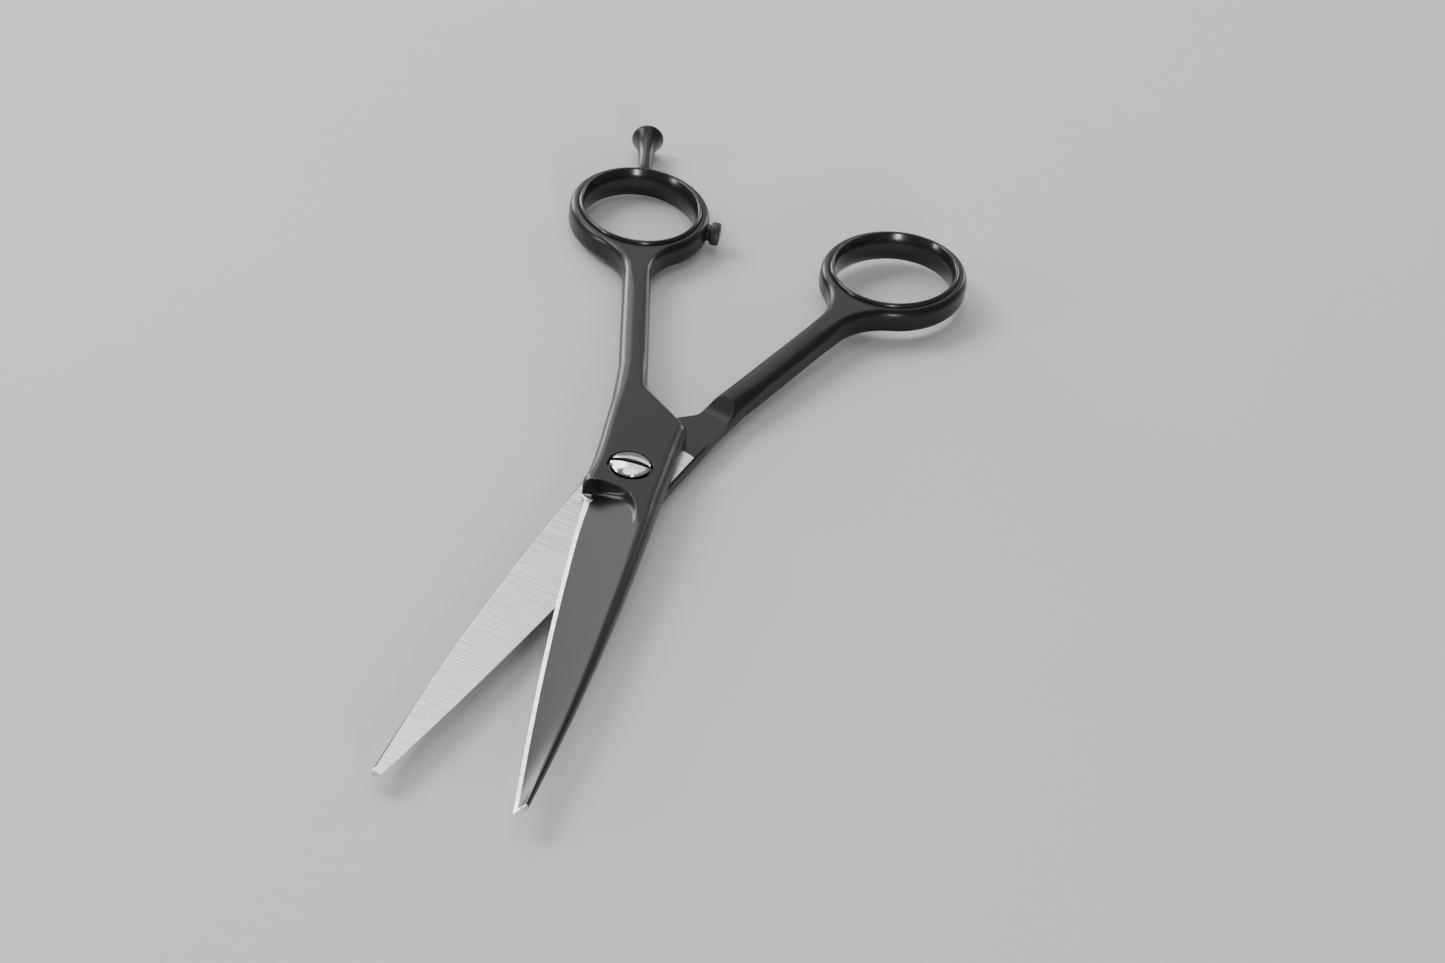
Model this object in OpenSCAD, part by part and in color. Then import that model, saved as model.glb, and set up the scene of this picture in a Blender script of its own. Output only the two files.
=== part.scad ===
// Hair cutting shears: two crossed forgings on a slotted tension screw, with plastic
// finger ring inserts, a closing bumper and a screwed-in finger rest.
// Row frame: the origin is on the pivot axis at the flat underside of the thumb half, the
// finger half's blade points along -Y and its handle towards +Y, and Z is the pivot axis.
// Each forging is drawn once, lying on its inner face (z = 0) with its cutting edge at -x.

/* [Opening] */
// Angle between the two blades as the shears lie open
open_angle = 14.3; // [14.2:0.1:60]

/* [Blades] */
// Distance from the pivot axis to the blade tips
blade_reach = 82.9; // [78:0.1:86]
// Width of the blunt end of each tip
tip_w = 1.8; // [1:0.1:2]
// How far the finger half's tip lies towards its spine
finger_tip_x = 0.8; // [0:0.05:0.9]
// How far the thumb half's tip lies towards its spine
thumb_tip_x = 0.25; // [0:0.05:0.9]
// Thickness of the blunt end of each tip
tip_t = 1.4; // [1.2:0.1:1.8]
// Distance from the pivot axis back to the heel of the cutting edge
heel_y = 7.5; // [7:0.1:8]
// Half width of the blade on its cutting side, at the heel
edge_x = 5.7; // [5.4:0.1:5.9]
// Half width of the blade on its spine side, at the heel
spine_x = 6.4; // [6:0.1:6.7]
// How far the cutting edge bows out from a straight line
edge_bow = 0.7; // [0.2:0.05:0.8]
// How far the spine bows out from a straight line
spine_bow = 0.9; // [0.2:0.05:1.1]
// Thickness left at the cutting edge
edge_t = 0.3; // [0.25:0.05:0.4]
// Slope of the blade's coated face, up from the cutting edge
face_slope = 16; // [15:0.5:17]

/* [Pivot plates] */
// Thickness of each forging around the pivot
plate_t = 3.4; // [3.3:0.1:3.6]
// Gap between the two inner faces
ride_gap = 0.05; // [0.03:0.01:0.1]
// Radius of the rounded corner behind the pivot
plate_corner_r = 3.5; // [3:0.1:4]

/* [Handles] */
// Distance from the pivot axis to the centre of each finger ring
ring_reach = 81.6; // [79:0.1:84]
// Angle of each handle away from its blade's centre line
handle_angle = 9.8; // [9.7:0.1:10.4]
// Width of the shank
shank_w = 4.9; // [4.6:0.1:5.2]
// Height of the shank
shank_h = 4.9; // [4.6:0.1:5.2]
// Distance from the pivot axis to the scoop where the shank takes its full height
scoop_y = 24; // [23.8:0.1:25]
// Radius of the fillets where the shank opens into the ring
flare_r = 12; // [10:0.5:13]

/* [Finger rings] */
// Half length of the ring's outside, along the handle
ring_a = 14.3; // [14.1:0.1:14.6]
// Half width of the ring's outside
ring_b = 12.7; // [12.6:0.1:12.8]
// Height of the metal ring
ring_h = 4.6; // [4.4:0.1:4.8]
// Half length of the finger hole, along the handle
hole_a = 11.7; // [11:0.1:11.9]
// Half width of the finger hole
hole_b = 10; // [9.6:0.1:10.2]
// Wall of the plastic insert
insert_wall = 1.1; // [0.9:0.1:1.2]
// Height of the plastic insert, which sets how low the finger ring hangs
insert_h = 5.7; // [5.4:0.1:5.9]

/* [Tension screw] */
// Diameter of the domed head
screw_head_d = 6.5; // [6.2:0.1:6.6]
// Diameter of the smooth shoulder
screw_shoulder_d = 4.5; // [4.4:0.1:4.6]
// Diameter of the threaded end
screw_thread_d = 4; // [3.9:0.1:4]
// Height of the head's dome
screw_dome_h = 0.6; // [0.5:0.05:0.8]
// Diameter of the recess that the head sits in
recess_d = 7.4; // [7.2:0.1:7.6]
// Depth of the recess
recess_t = 1.1; // [1:0.1:1.2]
// Width of the coin slot
slot_w = 0.9; // [0.7:0.1:1.1]
// Depth of the coin slot
slot_t = 1; // [0.8:0.1:1.1]
// Angle that the coin slot is turned to
slot_angle = -2; // [-90:1:90]

/* [Finger rest] */
// Length that stands out of the ring
rest_l = 13.9; // [11:0.1:15]
// Angle of the rest away from its blade's centre line
rest_angle = 7.8; // [7.5:0.1:9.8]
// Diameter of the neck
rest_neck_d = 2.6; // [2.4:0.1:3]
// Diameter of the flared end
rest_end_d = 5.9; // [5.4:0.1:6]

/* [Bumper] */
// Diameter of the bumper's head
bumper_d = 4.2; // [4:0.1:4.4]
// Distance that the closed thumb ring stays off the bumper
bumper_play = 0.05; // [0.03:0.01:0.1]

/* [Hidden] */
$fn = 64;

fit_gap = 0.04;               // radial clearance of the running fits
cut = 1;                      // how far a cutting tool reaches past what it cuts
ride_z = plate_t + ride_gap / 2;
ring_z = insert_h / 2 - plate_t;      // ring's middle above the inner face: its insert lies level
bush_flange_t = 0.45;
bush_flange_d = 7;
bush_sleeve_d = 5.6;
stud_l = 1.4;                 // press-fit and threaded ends that sit in the metal ring
metal_hole_a = hole_a + insert_wall;
metal_hole_b = hole_b + insert_wall;

// ---- outline helpers ----

function unit(v) = v / norm(v);
function polar(r, angle) = r * [cos(angle), sin(angle)];
function turn_between(from, to) = (to - from + 540) % 360 - 180;

// Points of the arc from p to q that bows out by h on the left of that direction.
function bowed(p, q, h, steps = 16) =
    let (half = norm(q - p) / 2,
         r = (half * half + h * h) / (2 * h),
         along = unit(q - p),
         left = [-along[1], along[0]],
         centre = (p + q) / 2 + left * (h - r),
         from = atan2(p[1] - centre[1], p[0] - centre[0]),
         turn = turn_between(from, atan2(q[1] - centre[1], q[0] - centre[0])))
    [for (i = [0:steps]) centre + polar(r, from + turn * i / steps)];

// Points of the round of radius r that replaces the corner at b, between a and c.
function rounded(a, b, c, r, steps = 8) =
    let (u = unit(a - b),
         v = unit(c - b),
         half = acos(u * v) / 2,
         centre = b + unit(u + v) * r / sin(half),
         p = b + u * r / tan(half) - centre,
         q = b + v * r / tan(half) - centre,
         from = atan2(p[1], p[0]),
         turn = turn_between(from, atan2(q[1], q[0])))
    [for (i = [0:steps]) centre + polar(r, from + turn * i / steps)];

module oval(a, b) {
    steps = 72;
    polygon([for (i = [0:steps - 1]) [b * cos(360 * i / steps), a * sin(360 * i / steps)]]);
}

// Local frame of the handle: +y runs from the pivot axis to the finger ring.
module on_handle() { rotate([0, 0, handle_angle]) children(); }

module at_ring() { on_handle() translate([0, ring_reach, ring_z]) children(); }

// ---- the forging ----

// Turns a point of the handle's frame into the forging's frame.
function off_handle(p) =
    [p[0] * cos(handle_angle) - p[1] * sin(handle_angle), p[0] * sin(handle_angle) + p[1] * cos(handle_angle)];

// Outline of the blade, the pivot plate and the root of the shank.
module plate_outline(tip_x) {
    heel = [-edge_x, -heel_y];
    tip_edge = [tip_x - tip_w / 2, -blade_reach];
    tip_spine = [tip_x + tip_w / 2, -blade_reach];
    spine_root = [spine_x, -heel_y];
    widest = [spine_x + 0.5, 9];
    corner = [spine_x + 0.7, 14.4];
    turn_in = [-3, 25.1];
    left_foot = [-edge_x - 0.15, -5];
    left_waist = [-edge_x - 1.2, 20];
    neck_l = off_handle([-shank_w / 2, 31]);
    neck_r = off_handle([shank_w / 2, 30]);
    polygon(concat(
        bowed(tip_edge, heel, edge_bow),
        [left_foot],
        rounded(left_foot, left_waist, neck_l, 12),
        [neck_l, neck_r],
        rounded(neck_r, turn_in, corner, 4),
        rounded(turn_in, corner, widest, plate_corner_r),
        [widest],
        bowed(spine_root, tip_spine, spine_bow)));
}

// Flat cutting tool over the blade's face: it slopes up from the cutting edge and ends at
// the round lip of the pivot plate.
module face_tool(tip_x) {
    edge_angle = atan2(edge_x - tip_w / 2 + tip_x, blade_reach - heel_y);
    length = blade_reach + 10;
    tool_w = 30;
    side = 3;
    lip_r = 8.5;
    lip_x = 1.3;
    lip_y = 2.4;
    translate([-edge_x, -heel_y, edge_t]) rotate([0, -face_slope, edge_angle]) linear_extrude(3 * plate_t) {
        translate([-side, -length]) square([tool_w, length + lip_y - lip_r]);
        translate([-side, -lip_r]) square([side + lip_x, lip_r + lip_y]);
        translate([lip_x, lip_y - lip_r]) circle(lip_r);
    }
}

// Slab over the blade that thins it from the pivot plate to the tip.
module spine_tool() {
    run = blade_reach - heel_y;
    past_tip = 10;
    tool_w = 40;
    translate([-tool_w / 2, -heel_y, plate_t])
        rotate([atan2(plate_t - tip_t, run), 0, 0])
            translate([0, -run - past_tip, 0]) cube([tool_w, run + past_tip, 2 * plate_t]);
}

module plate(tip_x) {
    difference() {
        linear_extrude(plate_t) plate_outline(tip_x);
        face_tool(tip_x);
        spine_tool();
    }
}

// Rounded rectangle across the handle, z0 to z1 high.
module shank_section(y, w, z0, z1) {
    r = 1.9;
    translate([0, y, 0])
        for (x = [-w / 2 + r, w / 2 - r], z = [z0 + r, z1 - r])
            translate([x, 0, z]) rotate([90, 0, 0]) cylinder(r = r, h = 0.2, center = true, $fn = 32);
}

module shank() {
    ring_end = ring_reach - ring_a + 2;
    top_drop = plate_t - 0.1;
    on_handle() difference() {
        hull() {
            shank_section(scoop_y - 3, shank_w, top_drop - shank_h, top_drop);
            shank_section(ring_end, shank_w, ring_z - shank_h / 2, ring_z + shank_h / 2);
        }
        // the scoop that clears the other half's pivot plate
        scoop_r = 7.5;
        tool_w = 20;
        translate([0, scoop_y, -scoop_r]) rotate([0, 90, 0]) cylinder(r = scoop_r, h = tool_w, center = true);
        translate([-tool_w / 2, 0, -shank_h]) cube([tool_w, scoop_y, shank_h]);
    }
}

// Solid web between the two fillets where the shank opens into the ring.
module flare() {
    side = shank_w / 2 + flare_r;
    back = sqrt(pow(ring_b + flare_r, 2) - side * side);
    h = ring_h - 0.5;
    at_ring() translate([0, 0, -h / 2]) linear_extrude(h) difference() {
        translate([-side / 2, -back]) square([side, back]);
        for (s = [-1, 1]) translate([s * side, -back]) circle(flare_r);
    }
}

module metal_ring() {
    flat_h = ring_h - 2;
    inset = 0.9;
    at_ring() hull() {
        translate([0, 0, -flat_h / 2]) linear_extrude(flat_h) oval(ring_a, ring_b);
        translate([0, 0, -ring_h / 2]) linear_extrude(ring_h) oval(ring_a - inset, ring_b - inset);
    }
}

module ring_hole() {
    at_ring() translate([0, 0, -ring_h]) linear_extrude(2 * ring_h) oval(metal_hole_a, metal_hole_b);
}

module forging(tip_x) {
    difference() {
        union() {
            plate(tip_x);
            shank();
            flare();
            metal_ring();
        }
        ring_hole();
    }
}

// The thumb half is the same forging turned over about the blade's length.
module place_finger() { translate([0, 0, ride_z + ride_gap / 2]) children(); }

module place_thumb() {
    translate([0, 0, ride_z - ride_gap / 2]) rotate([0, 0, -open_angle]) rotate([0, 180, 0]) children();
}

// ---- sub-parts ----

// The point of the ring's outside that faces the thumb ring when the shears are closed.
side_x = sqrt(pow(ring_a * sin(handle_angle), 2) + pow(ring_b * cos(handle_angle), 2));
ring_centre = [-ring_reach * sin(handle_angle), ring_reach * cos(handle_angle), ring_z];
side_dy = (ring_a * ring_a - ring_b * ring_b) * sin(handle_angle) * cos(handle_angle) / side_x;
bumper_seat = ring_centre + [side_x, -side_dy, 0];
bumper_l = -2 * bumper_seat[0] - bumper_play;

module bumper_frame() { place_finger() translate(bumper_seat) rotate([0, 90, 0]) children(); }

module rest_frame() {
    place_finger() translate(ring_centre)
        rotate([0, 0, rest_angle]) translate([0, ring_a, 0]) rotate([-90, 0, 0]) children();
}

rest_stud_r = 1.2;
bumper_stud_r = 0.9;

module finger_half() {
    color([0.07, 0.07, 0.075]) difference() {
        place_finger() forging(finger_tip_x);
        place_finger() translate([0, 0, -cut]) cylinder(d = bush_sleeve_d, h = plate_t + 2 * cut);
        place_finger() translate([0, 0, plate_t - recess_t]) cylinder(d = recess_d, h = recess_t + cut);
        rest_frame() translate([0, 0, -stud_l]) cylinder(r = rest_stud_r, h = stud_l + cut);
        bumper_frame() translate([0, 0, -stud_l]) cylinder(r = bumper_stud_r, h = stud_l + cut);
    }
}

module thumb_half() {
    color([0.07, 0.07, 0.075]) difference() {
        place_thumb() forging(thumb_tip_x);
        translate([0, 0, -cut]) cylinder(r = screw_thread_d / 2 + fit_gap, h = plate_t + 2 * cut);
    }
}

// Slotted tension screw: domed head, smooth shoulder, threaded end flush with the underside.
module pivot_screw() {
    under_head = ride_z + ride_gap / 2 + plate_t - recess_t + bush_flange_t + fit_gap;
    proud = 0.35;              // height of the head's rim above the plate
    rim_z = ride_z + plate_t + proud;
    head_r = screw_head_d / 2;
    dome_r = (head_r * head_r + screw_dome_h * screw_dome_h) / (2 * screw_dome_h);
    color([0.82, 0.83, 0.85]) difference() {
        union() {
            cylinder(d = screw_thread_d, h = ride_z);
            translate([0, 0, ride_z]) cylinder(d = screw_shoulder_d, h = under_head - ride_z);
            translate([0, 0, under_head]) cylinder(r = head_r, h = rim_z - under_head);
            intersection() {
                translate([0, 0, rim_z + screw_dome_h - dome_r]) sphere(dome_r, $fn = 96);
                translate([0, 0, rim_z - fit_gap]) cylinder(r = head_r, h = 2 * screw_dome_h);
            }
        }
        rotate([0, 0, slot_angle])
            translate([-screw_head_d, -slot_w / 2, rim_z + screw_dome_h - slot_t])
                cube([2 * screw_head_d, slot_w, slot_t + cut]);
        thread_lock_shape();
    }
}

// Flanged plastic bush between the screw and the finger half.
module glide_bush() {
    floor_z = ride_z + ride_gap / 2 + plate_t - recess_t;
    sleeve_z = ride_z + 0.15;
    color([0.12, 0.12, 0.12]) difference() {
        union() {
            translate([0, 0, floor_z]) cylinder(d = bush_flange_d, h = bush_flange_t);
            translate([0, 0, sleeve_z]) cylinder(d = bush_sleeve_d, h = floor_z - sleeve_z);
        }
        translate([0, 0, -cut]) cylinder(r = screw_shoulder_d / 2 + fit_gap, h = 2 * plate_t + 2 * cut);
    }
}

// Nylon pellet in the side of the screw's threaded end, which stops it from working loose.
module thread_lock_shape() {
    pellet_r = 0.6;
    pellet_l = 1.2;
    translate([0, screw_thread_d / 2 - pellet_l, plate_t / 2])
        rotate([-90, 0, 0]) cylinder(r = pellet_r, h = pellet_l - 0.1);
}

module thread_lock() { color([0.15, 0.3, 0.6]) thread_lock_shape(); }

// Plastic insert that lines a ring and stands a little proud of the metal on both faces.
module ring_insert() {
    lip = 0.5;
    at_ring() difference() {
        hull() {
            translate([0, 0, -ring_h / 2]) linear_extrude(ring_h) oval(metal_hole_a, metal_hole_b);
            translate([0, 0, -insert_h / 2])
                linear_extrude(insert_h) oval(metal_hole_a - lip, metal_hole_b - lip);
        }
        translate([0, 0, -insert_h]) linear_extrude(2 * insert_h) oval(hole_a, hole_b);
    }
}

module finger_ring_insert() { color([0.05, 0.05, 0.05]) place_finger() ring_insert(); }

module thumb_ring_insert() { color([0.05, 0.05, 0.05]) place_thumb() ring_insert(); }

// Stop between the rings: a head on a narrower neck, with a stem pressed into the ring.
module bumper() {
    neck_l = 0.5;
    edge = 0.25;
    r = bumper_d / 2;
    color([0.06, 0.06, 0.06]) bumper_frame() rotate_extrude() polygon([
        [0, -stud_l], [bumper_stud_r, -stud_l], [bumper_stud_r, 0], [r - 0.5, 0],
        [r - 0.5, neck_l], [r, neck_l + edge], [r, bumper_l - edge], [r - edge, bumper_l],
        [0, bumper_l]]);
}

// Removable rest for the little finger: a trumpet-shaped turned rod with a threaded end.
module finger_rest() {
    neck_r = rest_neck_d / 2;
    end_r = rest_end_d / 2;
    base_r = neck_r + 0.5;
    foot = 0.25;
    steps = 12;
    neck_z = 4.5;
    flare_profile = [for (i = [0:steps])
        let (t = i / steps) [neck_r + (end_r - neck_r) * pow(t, 2.4), neck_z + (rest_l - 0.6 - neck_z) * t]];
    color([0.07, 0.07, 0.075]) rest_frame() rotate_extrude() polygon(concat(
        [[0, -stud_l], [rest_stud_r, -stud_l], [rest_stud_r, foot], [base_r, foot], [neck_r + 0.15, 2]],
        flare_profile,
        [[end_r - 0.3, rest_l - 0.15], [0, rest_l]]));
}

finger_half();
thumb_half();
pivot_screw();
glide_bush();
thread_lock();
finger_ring_insert();
thumb_ring_insert();
bumper();
finger_rest();
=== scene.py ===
"""Hair cutting shears on a pale studio floor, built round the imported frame.

Two crossed steel forgings in a satin black coat, with bare ground cutting edges and inner
faces, turn on a chrome tension screw. Each forging is one mesh. It is drawn lying on its inner
face (z = 0), with its cutting edge at -x, its blade to -y and its handle to +y, and then set in
its place. Lengths are millimetres until a mesh is made.
"""

import math

import bmesh
import bpy
import numpy as np
from mathutils import Matrix, Vector


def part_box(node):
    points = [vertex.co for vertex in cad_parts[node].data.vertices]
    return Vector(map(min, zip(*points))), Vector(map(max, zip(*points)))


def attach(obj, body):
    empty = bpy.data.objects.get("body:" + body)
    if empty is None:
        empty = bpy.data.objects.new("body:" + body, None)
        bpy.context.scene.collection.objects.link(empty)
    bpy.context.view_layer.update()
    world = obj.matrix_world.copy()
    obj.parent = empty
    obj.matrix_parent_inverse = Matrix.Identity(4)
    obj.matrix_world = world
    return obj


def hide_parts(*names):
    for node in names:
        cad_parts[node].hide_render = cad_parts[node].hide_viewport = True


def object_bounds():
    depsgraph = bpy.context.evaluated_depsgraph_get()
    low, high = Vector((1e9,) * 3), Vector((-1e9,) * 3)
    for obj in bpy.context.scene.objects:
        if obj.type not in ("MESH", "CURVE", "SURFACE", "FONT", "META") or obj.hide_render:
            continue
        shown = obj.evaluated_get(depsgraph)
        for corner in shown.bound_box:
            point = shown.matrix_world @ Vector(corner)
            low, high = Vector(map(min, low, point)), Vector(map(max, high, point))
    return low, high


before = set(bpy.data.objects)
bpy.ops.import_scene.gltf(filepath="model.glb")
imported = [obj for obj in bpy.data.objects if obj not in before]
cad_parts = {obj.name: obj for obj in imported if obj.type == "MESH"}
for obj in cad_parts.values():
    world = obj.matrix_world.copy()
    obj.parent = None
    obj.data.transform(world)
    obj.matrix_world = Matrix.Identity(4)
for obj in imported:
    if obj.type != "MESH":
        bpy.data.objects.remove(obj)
CAD_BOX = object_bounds()
MM = 0.001

# ---- sizes, in mm, as the CAD model has them ----

OPEN_ANGLE = math.radians(14.3)
HANDLE_ANGLE = math.radians(9.8)
BLADE_REACH = 82.9
BLADE_END = -8.4              # the cutting bevel ends here, and the heel's outline begins
TIP_W = 1.8
TIP_T = 1.4
TIP_X = {"finger_half": 0.8, "thumb_half": 0.25}
HEEL_Y = -7.5
EDGE_X = 5.7
SPINE_X = 6.4
EDGE_BOW = 0.7
SPINE_BOW = 0.9
BEVEL_T = 0.35
HOLLOW = 0.2                  # how far the ground face is from flat: its slope grows to the ridge
PLATE_T = 3.4
SHANK_W = 4.9
SHANK_START = 34.0            # along the handle: from here on the shank's sides are straight
SHANK_EVEN = 54.0             # along the handle: its rounding is even up to here
SCOOP_Y = 24.0
SCOOP_R = 7.5
RING_REACH = 81.6
RING_A, RING_B, RING_H = 14.3, 12.7, 4.6
HOLE_A, HOLE_B = 11.7, 10.0
INSERT_WALL, INSERT_H = 1.1, 5.7
RING_Z = INSERT_H / 2 - PLATE_T
FLARE_R = 12.0
JOINT_ROUND = 1.4             # where shank and flare meet: how far the rounding reaches in
JOINT_DROP = 0.35             # and how far down, as a share of the height
RECESS_R, RECESS_T = 3.7, 1.1
FIT_GAP = 0.04                # room round the screw in its hole, and under its head
SHOULDER_R, THREAD_R = 2.25, 2.0
BUSH_R, BUSH_FLANGE_T = 2.8, 0.45
STUD_L = 1.4                  # pressed-in end of the bumper
FINGER_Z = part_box("finger_half")[1].z / MM - PLATE_T
THUMB_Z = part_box("thumb_half")[0].z / MM + PLATE_T

# ---- small maths ----


def smooth(t):
    t = np.clip(t, 0.0, 1.0)
    return t * t * (3 - 2 * t)


def mix(a, b, t):
    return a + (b - a) * t


def soft_min(a, b, r):
    h = np.clip(0.5 + 0.5 * (b - a) / r, 0.0, 1.0)
    return mix(b, a, h) - r * h * (1 - h)


def soft_max(a, b, r):
    return -soft_min(-a, -b, r)


def curve(points, at):
    """Smooth curve through (position, value) pairs, read at the given positions."""
    x, y = np.array(points, float).T
    slope = np.gradient(y, x)
    at = np.asarray(at, float)
    i = np.clip(np.searchsorted(x, at) - 1, 0, len(x) - 2)
    h = x[i + 1] - x[i]
    t = np.clip((at - x[i]) / h, 0.0, 1.0)
    start = (1 + 2 * t) * (1 - t) ** 2 * y[i] + t * (1 - t) ** 2 * h * slope[i]
    end = t * t * (3 - 2 * t) * y[i + 1] + t * t * (t - 1) * h * slope[i + 1]
    return start + end


def levels(points, at):
    """Straight steps between (position, value) pairs, read at the given positions."""
    x, y = np.array(points, float).T
    return np.interp(at, x, y)


def turned(p, angle):
    p = np.asarray(p, float)
    c, s = math.cos(angle), math.sin(angle)
    return np.stack([p[..., 0] * c - p[..., 1] * s, p[..., 0] * s + p[..., 1] * c], -1)


def off_handle(p):
    """Point of the handle's frame, whose +y runs to the ring's centre, in the forging's frame."""
    return turned(p, HANDLE_ANGLE)


def on_handle(p):
    return turned(p, -HANDLE_ANGLE)


def rounded(a, b, c, r, steps=12):
    """Points of the round of radius r that replaces the corner at b, between a and c."""
    a, b, c = (np.array(p, float) for p in (a, b, c))
    u = (a - b) / np.linalg.norm(a - b)
    v = (c - b) / np.linalg.norm(c - b)
    half = math.acos(float(u @ v)) / 2
    centre = b + (u + v) / np.linalg.norm(u + v) * r / math.sin(half)
    p = b + u * r / math.tan(half) - centre
    q = b + v * r / math.tan(half) - centre
    start = math.atan2(p[1], p[0])
    turn = (math.atan2(q[1], q[0]) - start + 3 * math.pi) % (2 * math.pi) - math.pi
    angles = start + turn * np.linspace(0, 1, steps + 1)
    return [centre + r * np.array([math.cos(t), math.sin(t)]) for t in angles]


def resample(path, count):
    """count + 1 points evenly spaced along a path."""
    path = np.array(path, float)
    run = np.concatenate([[0], np.cumsum(np.linalg.norm(np.diff(path, axis=0), axis=1))])
    at = np.linspace(0, run[-1], count + 1)
    return np.stack([np.interp(at, run, path[:, k]) for k in (0, 1)], -1)


# ---- meshes ----


class Skin:
    """Collects grids of points, and welds them into one mesh."""

    def __init__(self):
        self.bm = bmesh.new()

    def grid(self, points, wrap_rows=False, wrap_cols=False, material=None):
        """Quads over points[row][col]. material is an array of one number per quad, or none."""
        rows, cols = points.shape[:2]
        verts = [[self.bm.verts.new(p * MM) for p in row] for row in points]
        for r in range(rows if wrap_rows else rows - 1):
            for c in range(cols if wrap_cols else cols - 1):
                r2, c2 = (r + 1) % rows, (c + 1) % cols
                f = self.bm.faces.new((verts[r][c], verts[r][c2], verts[r2][c2], verts[r2][c]))
                f.material_index = int(material[r][c]) if material is not None else 0
        return verts

    def cap(self, verts, material=0):
        self.bm.faces.new(verts).material_index = material

    def finish(self, name, materials, sharp=35):
        bmesh.ops.remove_doubles(self.bm, verts=self.bm.verts, dist=2e-7)
        bmesh.ops.dissolve_degenerate(self.bm, edges=self.bm.edges, dist=1e-7)
        bmesh.ops.recalc_face_normals(self.bm, faces=self.bm.faces)
        mesh = bpy.data.meshes.new(name)
        self.bm.to_mesh(mesh)
        self.bm.free()
        for m in materials:
            mesh.materials.append(m)
        mesh.polygons.foreach_set("use_smooth", [True] * len(mesh.polygons))
        mesh.set_sharp_from_angle(angle=math.radians(sharp))
        obj = bpy.data.objects.new(name, mesh)
        bpy.context.scene.collection.objects.link(obj)
        return obj


def lathe(skin, profile, steps=96, axis=None):
    """Turns (radius, height) pairs about +z, or about the +z of the matrix axis.

    A profile that starts and ends on the axis makes a closed piece.
    """
    profile = np.array(profile, float)
    angles = np.linspace(0, 2 * math.pi, steps, endpoint=False)
    r, z = profile[:, 0], profile[:, 1]
    points = np.stack(
        [np.outer(np.cos(angles), r), np.outer(np.sin(angles), r), np.outer(np.ones(steps), z)], -1
    )
    if axis is not None:
        m = np.array(axis, float)
        points = points @ m[:3, :3].T + m[:3, 3]
    return skin.grid(points, wrap_rows=True)


def oval_sweep(skin, profile, a, b, steps=144):
    """Sweeps (inset, height) pairs round the oval of half axes a along y and b along x."""
    angles = np.linspace(0, 2 * math.pi, steps, endpoint=False)
    centre_line = np.stack([b * np.cos(angles), a * np.sin(angles)], -1)
    inward = -np.stack([a * np.cos(angles), b * np.sin(angles)], -1)
    inward /= np.linalg.norm(inward, axis=1)[:, None]
    profile = np.array(profile, float)
    flat = centre_line[:, None] + inward[:, None] * profile[None, :, :1]
    height = np.broadcast_to(profile[None, :, 1:], flat.shape[:2] + (1,))
    return skin.grid(np.concatenate([flat, height], -1), wrap_rows=True, wrap_cols=True)


def cut_out(obj, cutter):
    """Takes cutter away from obj for good."""
    change = obj.modifiers.new("cut", "BOOLEAN")
    change.operation = "DIFFERENCE"
    change.solver = "EXACT"
    change.object = cutter
    bpy.context.view_layer.update()
    mesh = bpy.data.meshes.new_from_object(obj.evaluated_get(bpy.context.evaluated_depsgraph_get()))
    obj.modifiers.clear()
    old = obj.data
    obj.data = mesh
    mesh.name = obj.name
    bpy.data.meshes.remove(old)
    bpy.data.objects.remove(cutter)


# ---- materials ----


def shader(name, color, metallic, roughness, **sockets):
    """A material with its principled shader's plain values set, and its tree for the rest."""
    m = bpy.data.materials.new(name)
    m.use_nodes = True
    tree = m.node_tree
    s = tree.nodes["Principled BSDF"]
    s.inputs["Base Color"].default_value = (*color, 1)
    s.inputs["Metallic"].default_value = metallic
    s.inputs["Roughness"].default_value = roughness
    for key, value in sockets.items():
        s.inputs[key.replace("_", " ")].default_value = value
    return m, tree, s


def grain(tree, scale, detail=3.0, stretch=None):
    """Noise; scale is per metre. With a stretch it runs along the forging's own directions."""
    if stretch:
        where = tree.nodes.new("ShaderNodeAttribute")
        where.attribute_name = "own"
        source = where.outputs["Vector"]
    else:
        source = tree.nodes.new("ShaderNodeTexCoord").outputs["Object"]
    move = tree.nodes.new("ShaderNodeMapping")
    move.inputs["Scale"].default_value = stretch or (1, 1, 1)
    noise = tree.nodes.new("ShaderNodeTexNoise")
    noise.inputs["Scale"].default_value = scale
    noise.inputs["Detail"].default_value = detail
    tree.links.new(source, move.inputs["Vector"])
    tree.links.new(move.outputs["Vector"], noise.inputs["Vector"])
    return noise.outputs["Fac"]


def span(tree, value, low, high, start=0.3, end=0.7):
    """value from start to end, mapped to low to high."""
    node = tree.nodes.new("ShaderNodeMapRange")
    node.inputs["From Min"].default_value = start
    node.inputs["From Max"].default_value = end
    node.inputs["To Min"].default_value = low
    node.inputs["To Max"].default_value = high
    tree.links.new(value, node.inputs["Value"])
    return node.outputs["Result"]


def tint(tree, s, value, dark, light):
    """Colours the surface from dark to light by value, 0 to 1."""
    ramp = tree.nodes.new("ShaderNodeValToRGB")
    ramp.color_ramp.elements[0].color = (*dark, 1)
    ramp.color_ramp.elements[1].color = (*light, 1)
    tree.links.new(value, ramp.inputs["Fac"])
    tree.links.new(ramp.outputs["Color"], s.inputs["Base Color"])


def relief(tree, s, value, height, strength=1.0):
    bump = tree.nodes.new("ShaderNodeBump")
    bump.inputs["Distance"].default_value = height
    bump.inputs["Strength"].default_value = strength
    tree.links.new(value, bump.inputs["Height"])
    tree.links.new(bump.outputs["Normal"], s.inputs["Normal"])


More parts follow.
